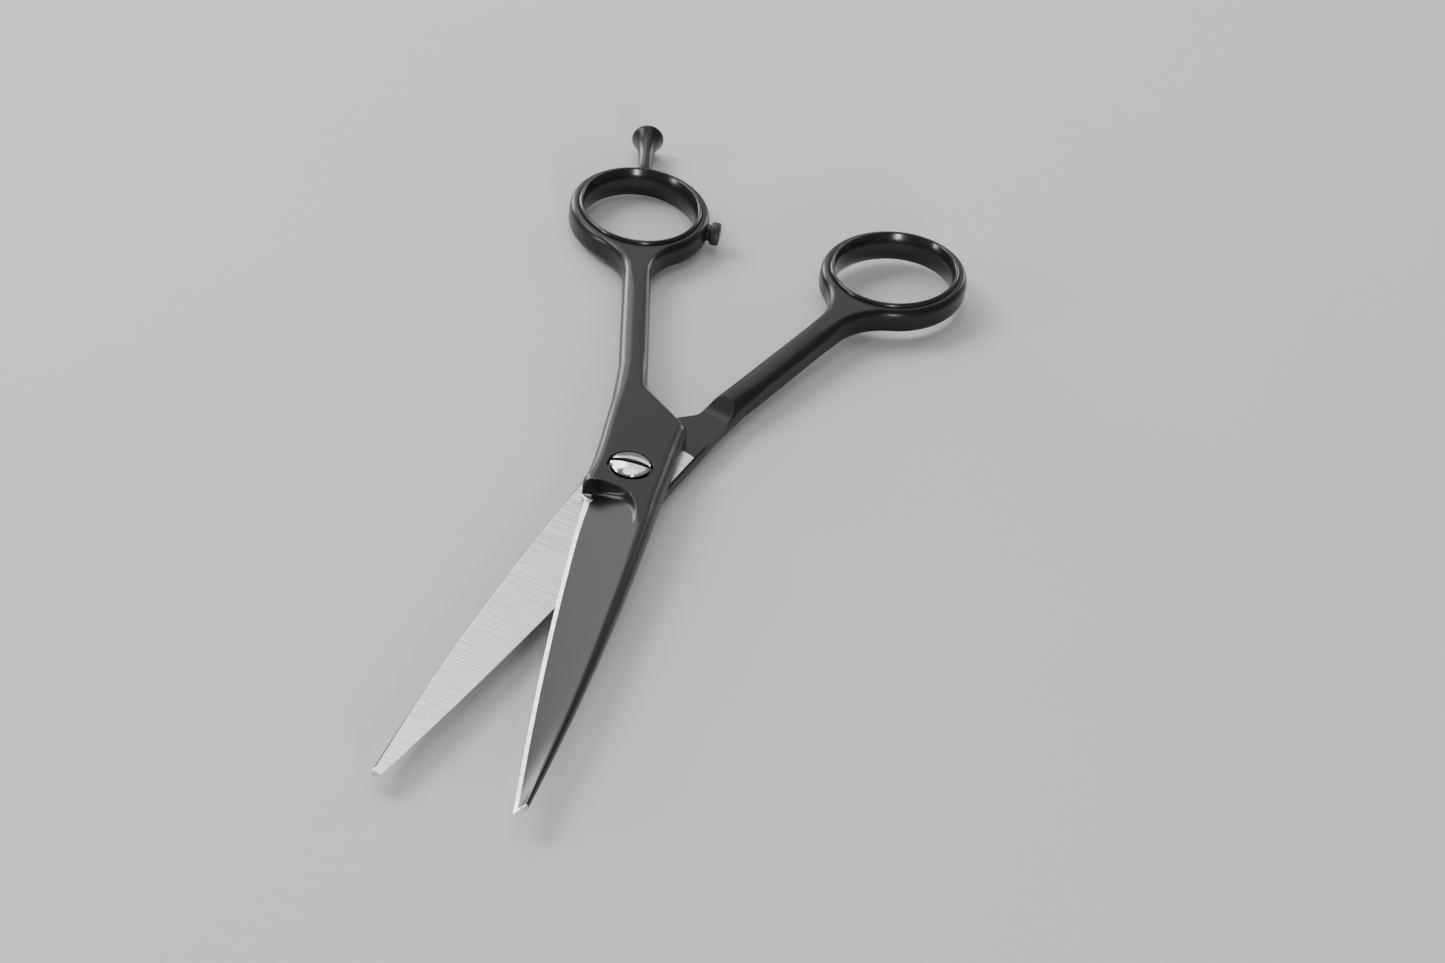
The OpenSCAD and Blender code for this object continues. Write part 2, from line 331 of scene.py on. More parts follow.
def coated_steel():
    """Satin black coat over fine-blasted steel."""
    m, tree, s = shader("coated_steel", (0.02, 0.02, 0.022), 0.0, 0.3, IOR=1.38)
    cloud = grain(tree, 90, 2)
    fine = grain(tree, 9000, 2)
    tint(tree, s, span(tree, cloud, 0, 1, 0, 1), (0.007, 0.007, 0.008), (0.011, 0.011, 0.012))
    tree.links.new(span(tree, cloud, 0.28, 0.31, 0, 1), s.inputs["Roughness"])
    relief(tree, s, fine, 0.000001, 0.2)
    return m


def bare_steel():
    """Steel ground across the blade: fine streaks that run along the piece's own x."""
    m, tree, s = shader("bare_steel", (0.8, 0.8, 0.8), 1.0, 0.3)
    streak = grain(tree, 1000, 5, (0.07, 2.6, 1))
    cloud = grain(tree, 120, 3, (0.4, 1, 1))
    tint(tree, s, span(tree, streak, 0, 1), (0.50, 0.50, 0.51), (0.94, 0.94, 0.94))
    tree.links.new(span(tree, cloud, 0.28, 0.35), s.inputs["Roughness"])
    relief(tree, s, streak, 0.000012, 0.5)
    return m


def chrome():
    """Polished and plated, with the faintest turning marks."""
    m, tree, s = shader("polished_steel", (0.86, 0.87, 0.88), 1.0, 0.08)
    cloud = grain(tree, 900, 3)
    tree.links.new(span(tree, cloud, 0.08, 0.14), s.inputs["Roughness"])
    tint(tree, s, span(tree, cloud, 0, 1), (0.80, 0.81, 0.82), (0.88, 0.89, 0.90))
    return m


def slot_walls_milled_and_shaded():
    """Walls of the coin slot: plated, left rough as the cutter did them, and painted dark as the
    slot's shade.
    """
    # painted shade: the slot walls get a dark base colour and tint so that the slot looks shaded
    m, tree, s = shader("milled_slot_painted_shade", (0.2, 0.2, 0.21), 1.0, 0.45)
    lines = grain(tree, 4000, 2)
    tint(tree, s, span(tree, lines, 0, 1), (0.10, 0.10, 0.11), (0.2, 0.2, 0.21))
    return m


def moulded(name, color, roughness, texture=0.000003):
    """Moulded plastic or rubber: a slightly uneven gloss over a fine moulded skin."""
    light = tuple(c * 1.35 for c in color)
    m, tree, s = shader(name, color, 0.0, roughness)
    cloud = grain(tree, 400, 3)
    fine = grain(tree, 5000, 2)
    tint(tree, s, span(tree, cloud, 0, 1), color, light)
    tree.links.new(span(tree, cloud, roughness * 0.85, roughness * 1.15), s.inputs["Roughness"])
    relief(tree, s, fine, texture, 0.3)
    return m


COAT = coated_steel()
BARE = bare_steel()
CHROME = chrome()
SLOT_WALLS_SHADED = slot_walls_milled_and_shaded()
INSERT = moulded("insert_plastic", (0.011, 0.011, 0.012), 0.22)
RUBBER = moulded("bumper_rubber", (0.016, 0.016, 0.016), 0.42, 0.000008)
BUSH = moulded("bush_plastic", (0.02, 0.02, 0.02), 0.35)
NYLON = moulded("lock_nylon", (0.03, 0.09, 0.26), 0.4)

# ---- the forging's outline ----

# (y, x) points of the cutting side's outline, from the heel to the shank
HEEL = [(BLADE_END, -5.66), (-7.75, -5.74), (-7.2, -5.48), (-6.7, -5.85), (-6.1, -6.3),
        (-5.3, -6.52), (-4.4, -6.7), (-3, -6.5), (0, -6.3), (4, -6.27), (9, -6.43), (20, -6.9),
        (25, -7.25), (30.13, -7.69)]
# (x, y) points of the edge of the pivot plate's raised lip
LIP = [(-6.5, -5.75), (-5.3, -5.65), (-4.1, -5.4), (-1, -6.06), (1.5, -7.07), (2.47, -7.92),
       (3.23, -8.84), (3.8, -9.9), (4.3, -10.6), (4.8, -10.8), (7, -10.8)]
STRIP_END = 12.9              # the rows run straight across up to here, and the bare steel ends
RIM_STEPS = 14


def lip_bend(x):
    """How far the lip's edge at x lies from where it starts at the cutting side, along y."""
    return curve(LIP, x) - curve(LIP, -5.7)


def left_x(y, tip_x):
    """Outline on the cutting side, at the forging's middle height."""
    run = BLADE_REACH + HEEL_Y
    t = np.clip((y + BLADE_REACH) / run, 0, 1)
    blade = mix(tip_x - TIP_W / 2, -EDGE_X, t) - EDGE_BOW * 4 * t * (1 - t)
    return np.where(y < BLADE_END, blade, curve(HEEL, y))


def right_x(y, tip_x):
    """Outline on the spine side, at the forging's middle height."""
    run = BLADE_REACH + HEEL_Y
    t = np.clip((y + BLADE_REACH) / run, 0, 1)
    blade = mix(tip_x + TIP_W / 2, SPINE_X, t) + SPINE_BOW * 4 * t * (1 - t)
    return np.where(y < HEEL_Y, blade, SPINE_X + 0.5 * (y - HEEL_Y) / (9 - HEEL_Y))


def bevel_w(y):
    """Width of the ground bevel along the cutting edge."""
    return levels([(-BLADE_REACH, 0.4), (-80, 0.62), (-16, 0.65), (BLADE_END, 0.95)], y)


def spine_run(y):
    """0 at the tip and 1 at the heel, and on past it."""
    return (y + BLADE_REACH) / (BLADE_REACH + HEEL_Y)


def spine_s(y):
    return np.clip(spine_run(y), 0, 1)


def ridge_inset(y):
    """How far the ridge between ground face and spine lies from the spine's outline."""
    return 0.4 + 1.9 * spine_s(y)


def bend_share(y):
    """How much of the lip's bend the rows follow: none far from it, most beside it."""
    return smooth((y + 34) / 22) * (1 - smooth((y + 4) / 12))


def top_height(x, y, tip_x):
    """Height of the outer face: plate and shank, spine, ground face, and the plate's lip."""
    along = on_handle(np.stack([x, y], -1))[..., 1]
    flat = PLATE_T - 0.03 * np.maximum(along - 17.5, 0)
    spine = soft_min(PLATE_T, mix(TIP_T, PLATE_T, spine_run(y)), 0.15)
    edge = left_x(np.minimum(y, BLADE_END), tip_x) + bevel_w(y)
    ridge = right_x(np.minimum(y, BLADE_END), tip_x) - ridge_inset(np.minimum(y, -10))
    up = (x - edge) / (ridge - edge)
    face = BEVEL_T + (spine - BEVEL_T) * up * (1 + HOLLOW * (up - 1))
    away = curve(LIP, x) - y
    slope = (curve(LIP, x + 0.1) - curve(LIP, x - 0.1)) / 0.2
    away = away / np.sqrt(1 + slope**2)
    soft = levels([(-5.2, 0.3), (-3.6, 0.8), (0, 1.3), (3, 2.6)], x)
    reach = np.clip(away - 0.1, 0, soft)
    fillet = face + soft - np.sqrt(np.maximum(soft**2 - (soft - reach) ** 2, 0))
    wall = PLATE_T - 9 * np.maximum(away, 0)
    below = soft_max(fillet, np.minimum(wall, fillet + 3), 0.25)
    below = np.maximum(below, face)
    ground = soft_min(spine, below, 0.14)
    flat = np.minimum(flat, spine)
    return np.where(away <= 0, flat, np.minimum(ground, flat))


def floor_height(along):
    """Height of the inner face along the handle, with the scoop that clears the other plate."""
    drop = np.clip(along - SCOOP_Y, 0, SCOOP_R)
    return -SCOOP_R + np.sqrt(SCOOP_R**2 - drop**2)


def shank_bottom(along):
    """Height of the shank's underside, which leaves the inner face's plane in the scoop."""
    full = -1.6 - 0.029 * (along - 21)
    return full * smooth((along - 15) / 6)


def rim(edge, inward, top, across, down, power, outward_z=1.0):
    """Rounded rim, from the wall to the flat face: (rows, RIM_STEPS + 1, 3) points."""
    a = np.linspace(0, math.pi / 2, RIM_STEPS + 1)[None]
    power = np.broadcast_to(power, top.shape)[:, None]
    inset = across[:, None] * (1 - np.cos(a) ** (2 / power))
    drop = down[:, None] * (1 - np.sin(a) ** (2 / power))
    flat = edge[:, None] + inward[:, None] * inset[..., None]
    z = top[:, None] - outward_z * drop
    return np.concatenate([flat, z[..., None]], -1)


# ---- strip: blade, pivot plate and shank ----


def handle_start():
    """Where the shank ends: the flare's fillets begin there. Also where they meet the ring."""
    side = SHANK_W / 2 + FLARE_R
    t = np.radians(np.linspace(-90, 0, 4001))
    oval = np.stack([RING_B * np.cos(t), RING_A * np.sin(t)], -1)
    low, high = -30.0, -15.0
    for _ in range(40):
        y = (low + high) / 2
        gap = np.linalg.norm(oval - [side, y], axis=1)
        low, high = (y, high) if gap.min() > FLARE_R else (low, y)
    return y, t[gap.argmin()]


FLARE_Y, FLARE_ANGLE = handle_start()
SHANK_END = RING_REACH + FLARE_Y


TAIL_ROWS = (34, 80, 34)      # rows of the plate's end, the scoop and the shank


def blade_rows():
    """Heights along y of the rows that run straight across, closer at the tip and the lip."""
    tip = [-BLADE_REACH, -82.65, -82.35, -82.0, -81.4, -80.5]
    face = np.arange(-79, -16, 1.5)
    before_lip = np.arange(-16, -9.2, 0.5)
    lip = np.arange(-9.2, -4.0, 0.1)
    plate = np.arange(-4, STRIP_END - 0.3, 0.45)
    return np.concatenate([tip, face, before_lip, lip, plate, [STRIP_END]])


def tail_rows(parts):
    """Points of the outline beyond the straight rows, spaced evenly over each part."""
    spaced = [resample(part, count) for part, count in zip(parts, TAIL_ROWS)]
    return np.concatenate([part[1:] for part in spaced])


def left_tail():
    """Outline on the cutting side from the plate's end to the shank's."""
    plate_y = np.linspace(STRIP_END, 22.5, 30)
    plate = np.stack([curve(HEEL, plate_y), plate_y], -1)
    scoop_y = np.linspace(22.5, 30.0, 20)
    side = off_handle([-SHANK_W / 2, SHANK_START])
    scoop = list(np.stack([curve(HEEL, scoop_y), scoop_y], -1)) + [side]
    return tail_rows([plate, scoop, [side, off_handle([-SHANK_W / 2, SHANK_END])]])


def right_tail(start):
    """Outline on the spine side: round the plate's corner, in along its end, and up the shank."""
    side = off_handle([SHANK_W / 2, SHANK_START])
    foot = off_handle([SHANK_W / 2, 23.55])
    corner = (SPINE_X + 0.7, 14.4)
    inner = rounded(corner, foot, side, 3.0)
    middle = len(inner) // 2
    plate = [start] + rounded(start, corner, foot, 3.4) + inner[: middle + 1]
    scoop = inner[middle:] + [side]
    return tail_rows([plate, scoop, [side, off_handle([SHANK_W / 2, SHANK_END])]])


def inward_rows(straight, tail, side):
    """Unit directions into the metal: straight across first, then square to the outline.

    side is 1 on the cutting side and -1 on the spine side.
    """
    go = np.gradient(tail, axis=0)
    square = np.stack([side * go[:, 1], -side * go[:, 0]], -1)
    into = np.concatenate([np.tile([side, 0.0], (straight, 1)), square])
    into /= np.linalg.norm(into, axis=1)[:, None]
    into[-1] = off_handle([side, 0.0])
    return into


def strip_rows(tip_x):
    """Left and right outline points and inward directions, row by row from the tip."""
    y = blade_rows()
    right_y = y + bend_share(y) * lip_bend(7)
    left = np.stack([left_x(y, tip_x), y], -1)
    right = np.stack([right_x(right_y, tip_x), right_y], -1)
    tail_l, tail_r = left_tail(), right_tail(right[-1])
    into_l = inward_rows(len(y), tail_l, 1.0)
    into_r = inward_rows(len(y), tail_r, -1.0)
    left, right = np.concatenate([left, tail_l]), np.concatenate([right, tail_r])
    return left, right, into_l, into_r, len(y)


FACE_COLS, SPINE_COLS = 32, 6
INNER_COLS = FACE_COLS + SPINE_COLS
# the parts of a row's closed loop, in order, and how many quads each has
LOOP_PARTS = [("top", INNER_COLS), ("right upper", RIM_STEPS), ("right wall", 1),
              ("right lower", RIM_STEPS), ("under", INNER_COLS), ("left lower", RIM_STEPS),
              ("left wall", 1), ("left upper", RIM_STEPS)]
TIP_BARE_END = -82.1          # the blunt tip is bare steel on all sides up to here
BEVEL_BARE_END = -5.95        # the cutting bevel is bare up to here, in the heel's notch
EDGE_BARE_END = -5.15         # and the edge below it up to here


def strip(skin, tip_x):
    """Blade, plate and shank in one closed skin. Returns its last row, where the ring goes on."""
    left, right, into_l, into_r, straight = strip_rows(tip_x)
    along = (on_handle(left)[:, 1] + on_handle(right)[:, 1]) / 2
    s = np.where(left[:, 1] < STRIP_END, left[:, 1], along)
    blade = s < BLADE_END
    # rims: how far the rounding reaches in, as a length, and down, as a share of the height
    strip_w = np.maximum(0.5 * smooth(spine_s(right[:, 1]) * 2 - 1), 0.1)
    l_across = levels([(BLADE_END, 0.95), (-5, 1.7), (16, 1.7), (26, 2.2), (SHANK_EVEN, 2.2),
                       (SHANK_END, JOINT_ROUND)], s)
    l_across = np.where(blade, bevel_w(left[:, 1]), l_across)
    on_plate = levels([(0, 2.0), (8, 2.3), (13, 2.0), (18, 1.5), (22, 1.4), (28, 2.1),
                       (SHANK_EVEN, 2.1), (SHANK_END, JOINT_ROUND)], s)
    r_across = mix(ridge_inset(right[:, 1]) - strip_w, on_plate, smooth((s + 7) / 7))
    l_down = levels([(BLADE_END, 0.88), (-5, 0.6), (16, 0.6), (24, 0.42), (SHANK_START, 0.31),
                     (SHANK_END, JOINT_DROP)], s)
    r_down = levels([(-80, 0.5), (-10, 0.6), (0, 0.7), (12, 0.68), (24, 0.42),
                     (SHANK_START, 0.31), (SHANK_END, JOINT_DROP)], s)
    l_power = levels([(BLADE_END, 1.0), (-5.5, 2.0)], s)
    l_under = levels([(BLADE_END, 0.02), (-5, 0.2), (4, 0.4), (21.5, 0.45), (23.5, 3.0),
                      (29, 3.0), (36, 2.2), (SHANK_EVEN, 2.2), (SHANK_END, JOINT_ROUND)], s)
    r_under = levels([(-80, 0.5), (-60, 0.22), (-8, 0.3), (0, 0.42), (21.5, 0.3), (23.5, 1.2),
                      (29, 1.2), (36, 2.1), (SHANK_EVEN, 2.1), (SHANK_END, JOINT_ROUND)], s)
    l_rise = levels([(BLADE_END, 0.08), (-5, 0.1), (21.5, 0.12), (23.5, 0.5), (29, 0.5),
                     (36, 0.31), (SHANK_END, JOINT_DROP)], s)
    r_rise = levels([(-80, 0.46), (-10, 0.38), (0, 0.3), (21.5, 0.15), (23.5, 0.4), (36, 0.31),
                     (SHANK_END, JOINT_DROP)], s)
    bottom = shank_bottom(along)

    def inner_top(edge, into, reach):
        p = edge + into * reach[:, None]
        return p, top_height(p[:, 0], p[:, 1], tip_x)

    lp, l_top = inner_top(left, into_l, l_across)
    rp, r_top = inner_top(right, into_r, r_across)
    l_upper = rim(left, into_l, l_top, l_across, l_down * (l_top - bottom), l_power)
    r_upper = rim(right, into_r, r_top, r_across, r_down * (r_top - bottom), 2.0)
    l_lower = rim(left, into_l, bottom, l_under, l_rise * (l_top - bottom), 2.0, -1.0)
    r_lower = rim(right, into_r, bottom, r_under, r_rise * (r_top - bottom), 2.0, -1.0)

    # columns across the top: one of them follows the ridge, as far as the plate
    even = np.linspace(0, 1, INNER_COLS + 1)[None]
    width = rp[:, 0] - lp[:, 0]
    ridge = 1 - strip_w / width
    ridge = mix(ridge, FACE_COLS / INNER_COLS, smooth((s + 3) / 10))[:, None]
    bent = np.concatenate([
        (1 - np.linspace(1, 0, FACE_COLS + 1) ** 1.5)[None] * ridge,
        ridge + np.linspace(0, 1, SPINE_COLS + 1)[None, 1:] * (1 - ridge)], 1)
    across = mix(bent, even, smooth((s + 3) / 10)[:, None])
    top = lp[:, None] + (rp - lp)[:, None] * across[..., None]
    # near the lip the rows bend to run along it
    start_y = left[:, 1:2]
    wanted = bend_share(s)[:, None] * lip_bend(top[..., 0])
    shift = mix(top[..., 1] - start_y, wanted, (s < 8.5)[:, None])
    top[..., 1] = np.where(s[:, None] < STRIP_END, start_y + shift, top[..., 1])
    z = top_height(top[..., 0], top[..., 1], tip_x)
    top = np.concatenate([top, z[..., None]], -1)
    top[:, 0] = l_upper[:, -1]
    top[:, -1] = r_upper[:, -1]

    under = l_lower[:, -1:, :2] + (r_lower[:, -1:, :2] - l_lower[:, -1:, :2]) * even[..., None]
    under_z = np.broadcast_to(bottom[:, None, None], under.shape[:2] + (1,))
    under = np.concatenate([under, under_z], -1)
    # the bare steel ends on a line that turns down at the cutting side
    last = straight - 1
    for away, share in ((0, 1.0), (-1, 0.6), (1, 0.6), (-2, 0.3), (2, 0.3)):
        row = last + away
        out = -3.9 - under[row, :, 0]
        under[row, :, 1] -= share * (0.25 * np.clip(out, 0, 2) + 0.25 * smooth((out - 1.7) / 0.4))
    l_lower[:, -1] = under[:, 0]

    # one closed loop a row: over the top to the right, and back underneath
    loop = np.concatenate([
        top[:, :-1], r_upper[:, ::-1], r_lower,
        under[:, -2::-1], l_lower[:, -2::-1], l_upper[:, :-1]], 1)
    rows, cols = loop.shape[:2]
    zone = np.concatenate([np.full(quads, part) for part, quads in LOOP_PARTS])
    y_along = on_handle(loop[..., :2])[..., 1]
    col = np.arange(cols)
    low_side = (col >= INNER_COLS + RIM_STEPS + 1) & (col < cols - RIM_STEPS)
    scooped = np.maximum(loop[..., 2], floor_height(y_along))
    softened = soft_max(loop[..., 2], floor_height(y_along), 0.2)
    softened = np.where(y_along > SCOOP_Y + 0.5, softened, scooped)
    in_scoop = low_side[None] & (y_along > 10) & (y_along < SCOOP_Y + SCOOP_R)
    loop[..., 2] = np.where(in_scoop, softened, loop[..., 2])
    # the blunt tip leans back a little
    near_tip = 1 - smooth((loop[..., 1] + BLADE_REACH) / 1.6)
    lean = 0.28 * (loop[..., 0] - left[0, 0]) / TIP_W + 0.22 * loop[..., 2] / TIP_T
    loop[..., 1] += near_tip * lean

    # material slot of each quad: 0 coated, 1 bare
    row_y = left[:-1, 1:2]
    bare = np.zeros((rows - 1, cols), int)
    bare[:last, zone == "under"] = 1
    bare[(row_y < BEVEL_BARE_END) & (zone == "left upper")] = 1
    bare[(row_y < EDGE_BARE_END) & ((zone == "left lower") | (zone == "left wall"))] = 1
    bare[(row_y < TIP_BARE_END) & (zone != "under")] = 1
    verts = skin.grid(loop, wrap_cols=True, material=bare)
    skin.cap(verts[0], 1)
    return {
        "top": on_ring(top[-1]),
        "under": on_ring(under[-1]),
        "l_upper": on_ring(l_upper[-1]),
        "r_upper": on_ring(r_upper[-1]),
        "l_lower": on_ring(l_lower[-1]),
        "r_lower": on_ring(r_lower[-1])}


# ---- flare and ring ----

HOLE_START = math.radians(-80)      # angle on the hole where the flare's right side begins
HOLE_LIP = 0.15                     # chamfer at the hole's ends


def on_ring(p):
    """Points of the forging's frame in the ring's: its centre at the origin, its length on y."""
    q = p.copy()
    q[..., :2] = on_handle(p[..., :2])
    q[..., 1] -= RING_REACH
    return q


def off_ring(p):
    q = p.copy()
    q[..., 1] += RING_REACH
    q[..., :2] = off_handle(q[..., :2])
    return q


def ring_outline():
    """Outside of flare and ring from the shank's right side round to its left side.

    Returns its points, their directions into the metal, and the matching angles on the hole.
    """
    side = SHANK_W / 2 + FLARE_R
    centre = np.array([side, FLARE_Y])
    touch = np.array([RING_B * math.cos(FLARE_ANGLE), RING_A * math.sin(FLARE_ANGLE)])
    end = math.atan2(touch[1] - centre[1], touch[0] - centre[0])
    arc = np.linspace(math.pi, end, 19)
    fillet = centre + FLARE_R * np.stack([np.cos(arc), np.sin(arc)], -1)
    fillet_in = (fillet - centre) / FLARE_R
    t = np.linspace(FLARE_ANGLE, math.pi - FLARE_ANGLE, 121)[1:]
    oval = np.stack([RING_B * np.cos(t), RING_A * np.sin(t)], -1)
    oval_in = -np.stack([RING_A * np.cos(t), RING_B * np.sin(t)], -1)
    oval_in /= np.linalg.norm(oval_in, axis=1)[:, None]
    mirror = np.array([-1.0, 1.0])
    outline = np.concatenate([fillet, oval, (fillet * mirror)[-2::-1]])
    into = np.concatenate([fillet_in, oval_in, (fillet_in * mirror)[-2::-1]])
    fillet_t = np.linspace(HOLE_START, FLARE_ANGLE, 19)
    angle = np.concatenate([fillet_t, t, (math.pi - fillet_t)[-2::-1]])
    return outline, into, angle


def ring(skin, joint):
    """Flare and metal ring, welded to the strip's last row."""
    outline, into, angle = ring_outline()
    last_top, last_under = joint["top"][0, 2], joint["under"][0, 2]
    top_z, under_z = RING_Z + RING_H / 2, RING_Z - RING_H / 2
    hole_a, hole_b = HOLE_A + INSERT_WALL, HOLE_B + INSERT_WALL
    across = joint["top"].shape[0]

    def share(y):
        return smooth((y - FLARE_Y) / 6.5)

    top = mix(last_top, top_z, share(outline[:, 1]))
    under = mix(last_under, under_z, share(outline[:, 1]))
    round_in = mix(JOINT_ROUND, 1.1, share(outline[:, 1]))
    drop = JOINT_DROP * (top - under)
    upper = rim(outline, into, top, round_in, drop, 2.0)
    lower = rim(outline, into, under, round_in, drop, 2.0, -1.0)
    upper[0], lower[0] = joint["r_upper"], joint["r_lower"]
    upper[-1], lower[-1] = joint["l_upper"], joint["l_lower"]
    skin.grid(off_ring(np.concatenate([upper[:, ::-1], lower], 1)))

    # the rows from the shank's end line run to the part of the hole that faces it
    cut_angle = np.linspace(-math.pi - HOLE_START, HOLE_START, across)
    angles = np.concatenate([cut_angle[:-1], angle])[:-1]

    def hole_line(wider):
        return np.stack([(hole_b + wider) * np.cos(angles), (hole_a + wider) * np.sin(angles)], -1)

    edge_top = hole_line(HOLE_LIP)
    begin_top = np.concatenate([joint["top"][:-1], upper[:-1, -1]])
    begin_under = np.concatenate([joint["under"][:-1], lower[:-1, -1]])
    steps = np.linspace(0, 1, 8)[None, :, None]

    def sheet(begin, level, level_end):
        """Rows from begin to the hole's edge, whose height goes from level to level_end."""
        flat = begin[:, None, :2] + (edge_top - begin[:, :2])[:, None] * steps
        z = mix(level, level_end, share(flat[..., 1:2]))
        z[:, 0, 0] = begin[:, 2]
        return np.concatenate([flat, z], -1)

    skin.grid(off_ring(sheet(begin_top, last_top, top_z)), wrap_rows=True)
    skin.grid(off_ring(sheet(begin_under, last_under, under_z)), wrap_rows=True)
    hole = [(HOLE_LIP, top_z), (0, top_z - HOLE_LIP), (0, mix(top_z, under_z, 0.5)),
            (0, under_z + HOLE_LIP), (HOLE_LIP, under_z)]
    wall = [np.insert(hole_line(wider), 2, z, axis=1) for wider, z in hole]
    skin.grid(off_ring(np.stack(wall, 1)), wrap_rows=True)


# ---- the pieces ----


def forging(name, bore):
    """One half: blade, plate, shank and ring, with its screw hole cut out.

    bore is the hole's (radius, height) pairs, from below the plate to above it.
    """
    skin = Skin()
    ring(skin, strip(skin, TIP_X[name]))
    obj = skin.finish(name + "_forging", [COAT, BARE])
    tool = Skin()
    lathe(tool, [(0, bore[0][1])] + bore + [(0, bore[-1][1])], 128)
    cutter = tool.finish("cutter", [COAT, BARE])
    cut_out(obj, cutter)
    obj.data.set_sharp_from_angle(angle=math.radians(35))
    return obj


def at_finger():
    return Matrix.Translation((0, 0, FINGER_Z * MM))


def at_thumb():
    turn = Matrix.Rotation(-OPEN_ANGLE, 4, "Z") @ Matrix.Rotation(math.pi, 4, "Y")
    return Matrix.Translation((0, 0, THUMB_Z * MM)) @ turn


def place(obj, matrix, body, slot, *nodes):
    """Sets a piece in its place. Its own coordinates stay with it, for the run of the grinding."""
    mesh = obj.data
    own = mesh.attributes.new("own", "FLOAT_VECTOR", "POINT")
    own.data.foreach_set("vector", [k for v in mesh.vertices for k in v.co])
    mesh.transform(matrix)
    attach(obj, body)
    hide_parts(*nodes)


RECESS_FLOOR = PLATE_T - RECESS_T
finger_bore = [(BUSH_R, -1), (BUSH_R, RECESS_FLOOR), (RECESS_R, RECESS_FLOOR),
               (RECESS_R, PLATE_T - 0.12), (RECESS_R + 0.5, PLATE_T + 0.38)]
finger = forging("finger_half", finger_bore)
place(finger, at_finger(), "finger_side", "coated_steel", "finger_half")
thumb_bore = [(THREAD_R + FIT_GAP, -1), (THREAD_R + FIT_GAP, PLATE_T + 1)]
thumb = forging("thumb_half", thumb_bore)
place(thumb, at_thumb(), "thumb_side", "coated_steel", "thumb_half")


def ring_insert(name):
    """Plastic ring with a rolled bead on both faces and a bulging bore."""
    bore_r, bore_end = 5.6, 2.6
    thickest = 1.36
    bulge = [(thickest - bore_r + math.sqrt(bore_r**2 - z**2), z)
             for z in np.linspace(bore_end, 0.2, 9)]
    top = [(0.0, 0.9), (0.0, 2.3), (0.04, 2.52), (0.13, 2.7), (0.28, 2.81), (0.44, 2.85),
           (0.58, 2.81), (0.67, 2.73)] + bulge
    profile = top + [(k, -z) for k, z in top[::-1]]
    skin = Skin()
    oval_sweep(skin, profile, HOLE_A + INSERT_WALL, HOLE_B + INSERT_WALL, 176)
    return skin.finish(name, [INSERT], 60)


def ring_place(half):
    """Where the ring's centre is, for a half in its own place."""
    to_centre = Matrix.Translation((0, RING_REACH * MM, RING_Z * MM))
    return half @ Matrix.Rotation(HANDLE_ANGLE, 4, "Z") @ to_centre


place(ring_insert("finger_insert"), ring_place(at_finger()),
      "finger_side", "insert_plastic", "finger_ring_insert")
place(ring_insert("thumb_insert"), ring_place(at_thumb()),
      "thumb_side", "insert_plastic", "thumb_ring_insert")


def tension_screw():
    """Domed head with a coin slot, smooth shoulder and plain threaded end."""
    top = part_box("pivot_screw")[1].z / MM
    head_r, dome_h, slot_t, slot_w = 3.25, 0.6, 1.0, 0.9
    rim_z = top - dome_h
    under = FINGER_Z + RECESS_FLOOR + BUSH_FLANGE_T + FIT_GAP
    step = THUMB_Z + 0.03
    dome_r = (head_r**2 + dome_h**2) / (2 * dome_h)
    a = np.linspace(0, math.asin((head_r - 0.14) / dome_r), 14)
    dome = [(dome_r * math.sin(t), top - dome_r * (1 - math.cos(t))) for t in a]
    soft = [(head_r - 0.05, rim_z - 0.03), (head_r, rim_z - 0.12), (head_r, under)]
    stem = [(SHOULDER_R, under), (SHOULDER_R, step), (THREAD_R, step), (THREAD_R, 0.15),
            (THREAD_R - 0.15, 0.0), (0, 0.0)]
    skin = Skin()
    lathe(skin, dome + soft + stem, 160)
    screw = skin.finish("tension_screw", [CHROME, SLOT_WALLS_SHADED], 30)
    # the slot: a bar with a round bottom, across the whole head
    tool = Skin()
    t = np.linspace(math.pi, 2 * math.pi, 9)
    half, floor, r = slot_w / 2, top - slot_t, 0.16
    left = [(-half + r + r * math.cos(k), floor + r + r * math.sin(k)) for k in t[:5]]
    right = [(half - r + r * math.cos(k), floor + r + r * math.sin(k)) for k in t[4:]]
    opening = rim_z + 0.35
    section = [(-half, opening), *left, *right, (half, opening),
               (half + 0.5, top + 0.6), (-half - 0.5, top + 0.6)]
    slot_turn = Matrix.Rotation(math.radians(-2), 3, "Z")
    ends = [np.array([slot_turn @ Vector((x, y, z)) for y, z in section]) for x in (-4, 4)]
    # the slot's walls take the dark slot material, whose colour is painted shade
    verts = tool.grid(np.stack(ends), wrap_cols=True, material=np.ones((1, len(section))))
    tool.cap(verts[0], 1)
    tool.cap(verts[1][::-1], 1)
    cut_out(screw, tool.finish("slot_tool", [CHROME, SLOT_WALLS_SHADED]))
    screw.data.set_sharp_from_angle(angle=math.radians(30))
    return screw


place(tension_screw(), Matrix.Identity(4), "screw", "polished_steel", "pivot_screw")


def bumper():
    """Rubber stop: a domed head on a narrower neck."""
    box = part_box("bumper")
    base = box[0].x / MM + STUD_L
    length = box[1].x / MM - base
    centre = (box[0] + box[1]) / 2
    head_r = 2.1
    neck = [(0, -0.6), (0.9, -0.6), (0.95, -0.2), (1.45, -0.15), (1.5, 0.0), (1.5, 0.4),
            (1.62, 0.5), (1.9, 0.56), (2.04, 0.64)]
    head = [(head_r, 0.78), (head_r, length - 0.42), (2.06, length - 0.26),
            (1.95, length - 0.13), (1.75, length - 0.05), (1.4, length), (0, length)]
    skin = Skin()
    seat = Matrix.Translation((base, centre.y / MM, centre.z / MM))
    lathe(skin, neck + head, 72, seat @ Matrix.Rotation(math.pi / 2, 4, "Y"))
    return skin.finish("closing_bumper", [RUBBER], 50)


place(bumper(), Matrix.Identity(4), "finger_side", "bumper_rubber", "bumper")


